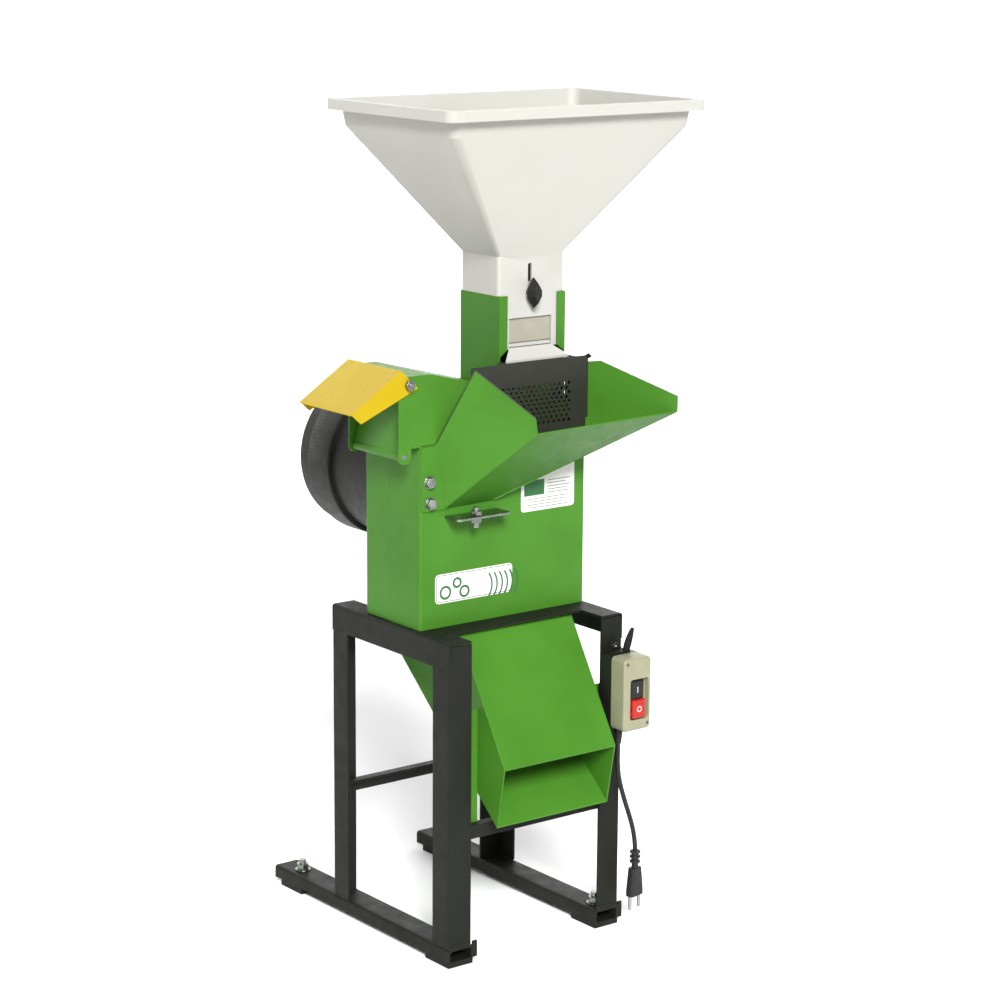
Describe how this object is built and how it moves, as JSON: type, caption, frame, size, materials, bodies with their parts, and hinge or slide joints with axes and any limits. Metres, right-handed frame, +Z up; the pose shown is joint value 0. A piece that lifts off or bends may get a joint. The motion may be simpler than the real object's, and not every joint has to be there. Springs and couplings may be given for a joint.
{
  "type": "electric feed chopper and grain mill",
  "caption": "Electric feed mill on a steel stand: green chopper housing with front hopper, white grain funnel with slide gate, side spout and hood, bottom chute, rear motor, switch and lead.",
  "frame": {"origin": "on the floor, at the centre of the four anchor holes in the feet", "axes": "+Z up; +Y towards the motor, away from the feed hopper; +X to the right seen from the front, away from the side outlet"},
  "size_m": [0.5383, 0.47, 1.115],
  "materials": {
    "green_paint": "glossy bright green powder coat",
    "frame_paint": "satin dark olive black paint",
    "white_plastic": "matt ivory white moulded plastic",
    "charcoal_paint": "satin charcoal paint",
    "guard_steel": "satin black perforated sheet",
    "yellow_paint": "glossy yellow paint",
    "zinc": "bright zinc plate",
    "steel": "bare machined steel",
    "copper_core": "laminated core with coils",
    "switch_grey": "warm grey moulded plastic",
    "black_plastic": "black moulded plastic",
    "red_plastic": "red moulded button",
    "black_rubber": "black rubber",
    "label_film": "printed label film without text"
  },
  "bodies": {
    "stand": {"bracket_bolt": "zinc", "chute_brackets": "green_paint", "cord_gland": "black_rubber", "counter_knife": "steel", "cover_screws": "zinc", "cross_plates": "frame_paint", "discharge_chute": "green_paint", "feed_hopper": "green_paint", "flap_rod_pin": "zinc", "foot_bolts": "zinc", "foot_nuts": "zinc", "foot_pads": "frame_paint", "grain_cheeks": "guard_steel", "grain_duct": "green_paint", "guard_rails": "green_paint", "hood_bolts": "zinc", "hopper_bolts": "zinc", "hopper_rest": "zinc", "housing_front_shell": "green_paint", "housing_rear_shell": "green_paint", "housing_roof": "green_paint", "label_plates": "label_film", "legs": "frame_paint", "lower_bars": "frame_paint", "motor_bearings": "steel", "motor_end_bell": "charcoal_paint", "motor_flange": "charcoal_paint", "motor_rear_ring": "charcoal_paint", "motor_screws": "zinc", "motor_shell": "charcoal_paint", "outlet_spout": "green_paint", "plug_body": "black_rubber", "plug_pins": "steel", "power_cord": "black_rubber", "sieve": "steel", "skids": "frame_paint", "stator_core": "copper_core", "switch_base": "black_plastic", "switch_block": "black_plastic", "switch_bracket": "frame_paint", "switch_cover": "switch_grey", "top_rails": "frame_paint"},
    "rotor": {"rotor_shaft": "steel", "rotor_discs": "steel", "hammer_pins": "steel", "rotor_knives": "steel", "motor_rotor": "copper_core", "cooling_fan": "black_plastic"},
    "hammers_1": {"hammer_set_1": "steel"},
    "hammers_2": {"hammer_set_2": "steel"},
    "hammers_3": {"hammer_set_3": "steel"},
    "hood": {"discharge_hood": "yellow_paint"},
    "flap": {"outlet_flap": "green_paint"},
    "funnel": {"grain_funnel": "white_plastic"},
    "gate": {"gate_plate": "white_plastic"},
    "knob": {"gate_knob": "black_plastic"},
    "guard": {"guard_screen": "guard_steel"},
    "on_key": {"on_button": "black_plastic"},
    "off_key": {"off_button": "red_plastic"}
  },
  "joints": [
    {"name": "rotor_spin", "type": "hinge", "parent": "stand", "child": "rotor", "pos_m": [0.003, -0.059, 0.6155], "axis": [0, 1, 0], "continuous": true},
    {"name": "hammer_swing_1", "type": "hinge", "parent": "rotor", "child": "hammers_1", "pos_m": [0.003, -0.059, 0.6895], "axis": [0, 1, 0], "range_deg": [-50, 50]},
    {"name": "hammer_swing_2", "type": "hinge", "parent": "rotor", "child": "hammers_2", "pos_m": [-0.06109, -0.059, 0.5785], "axis": [0, 1, 0], "range_deg": [-50, 50]},
    {"name": "hammer_swing_3", "type": "hinge", "parent": "rotor", "child": "hammers_3", "pos_m": [0.06709, -0.059, 0.5785], "axis": [0, 1, 0], "range_deg": [-50, 50]},
    {"name": "hood_tilt", "type": "hinge", "parent": "stand", "child": "hood", "pos_m": [-0.154, -0.066, 0.7675], "axis": [0, 1, 0], "range_deg": [-20, 30]},
    {"name": "flap_swing", "type": "hinge", "parent": "stand", "child": "flap", "pos_m": [-0.1588, -0.066, 0.6738], "axis": [0, 1, 0], "range_deg": [-100, 0]},
    {"name": "funnel_lift", "type": "slide", "parent": "stand", "child": "funnel", "axis": [0, 0, 1], "range_m": [0, 0.15]},
    {"name": "gate_slide", "type": "slide", "parent": "funnel", "child": "gate", "axis": [0, 0, 1], "range_m": [0, 0.034]},
    {"name": "knob_turn", "type": "hinge", "parent": "gate", "child": "knob", "pos_m": [0.0735, -0.0824, 0.864], "axis": [0, 1, 0], "range_deg": [-180, 180]},
    {"name": "guard_lift", "type": "slide", "parent": "stand", "child": "guard", "axis": [0, 0, 1], "range_m": [0, 0.12]},
    {"name": "on_press", "type": "slide", "parent": "stand", "child": "on_key", "axis": [0, 1, 0], "range_m": [0, 0.003], "stiffness_N_per_m": 400},
    {"name": "off_press", "type": "slide", "parent": "stand", "child": "off_key", "axis": [0, 1, 0], "range_m": [0, 0.003], "stiffness_N_per_m": 400}
  ]
}
